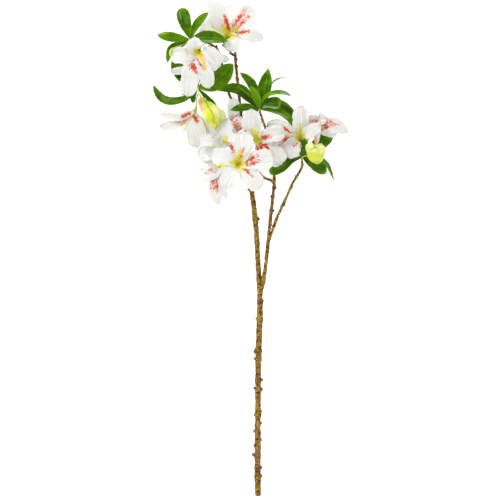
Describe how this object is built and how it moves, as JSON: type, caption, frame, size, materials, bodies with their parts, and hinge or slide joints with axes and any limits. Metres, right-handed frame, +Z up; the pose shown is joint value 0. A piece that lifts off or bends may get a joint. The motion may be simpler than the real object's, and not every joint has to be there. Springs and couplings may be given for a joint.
{
  "type": "artificial rhododendron branch",
  "caption": "Cut flowering branch of artificial rhododendron: a woody stem with side twigs, ruffled white blooms, buds and tufts of green leaves, lying on its side.",
  "frame": {"origin": "centre of the bounding box in plan, at the level of the surface that the branch lies on", "axes": "+Y along the branch from its cut end towards its flowers, +Z up, away from the surface, +X to the right when the branch is seen from above with its flowers away from the viewer"},
  "size_m": [0.3974, 0.9954, 0.1407],
  "materials": {
    "stem": "matt moulded bark, olive brown",
    "petal": "off-white printed fabric",
    "leaf": "waxed green fabric, slightly glossy",
    "bud": "lime green fabric"
  },
  "bodies": {
    "root": {"main_stem": "stem", "right_limb": "stem", "right_twig": "stem", "side_twig": "stem", "tall_twig": "stem", "left_twig": "stem", "left_stub": "stem", "drooping_twig": "stem", "bloom_top": "petal", "bloom_upper_left": "petal", "bloom_upper_left_back": "petal", "bloom_left_hanging": "petal", "bloom_left": "petal", "bloom_front": "petal", "bloom_right_centre": "petal", "bloom_back": "petal", "bloom_lower_left": "petal", "bloom_right": "petal", "bloom_far_right": "petal", "leaves_top_left": "leaf", "leaves_left": "leaf", "leaves_centre": "leaf", "leaves_right": "leaf", "bud_left": "bud", "bud_right": "bud", "bud_top_left": "bud"}
  },
  "joints": []
}
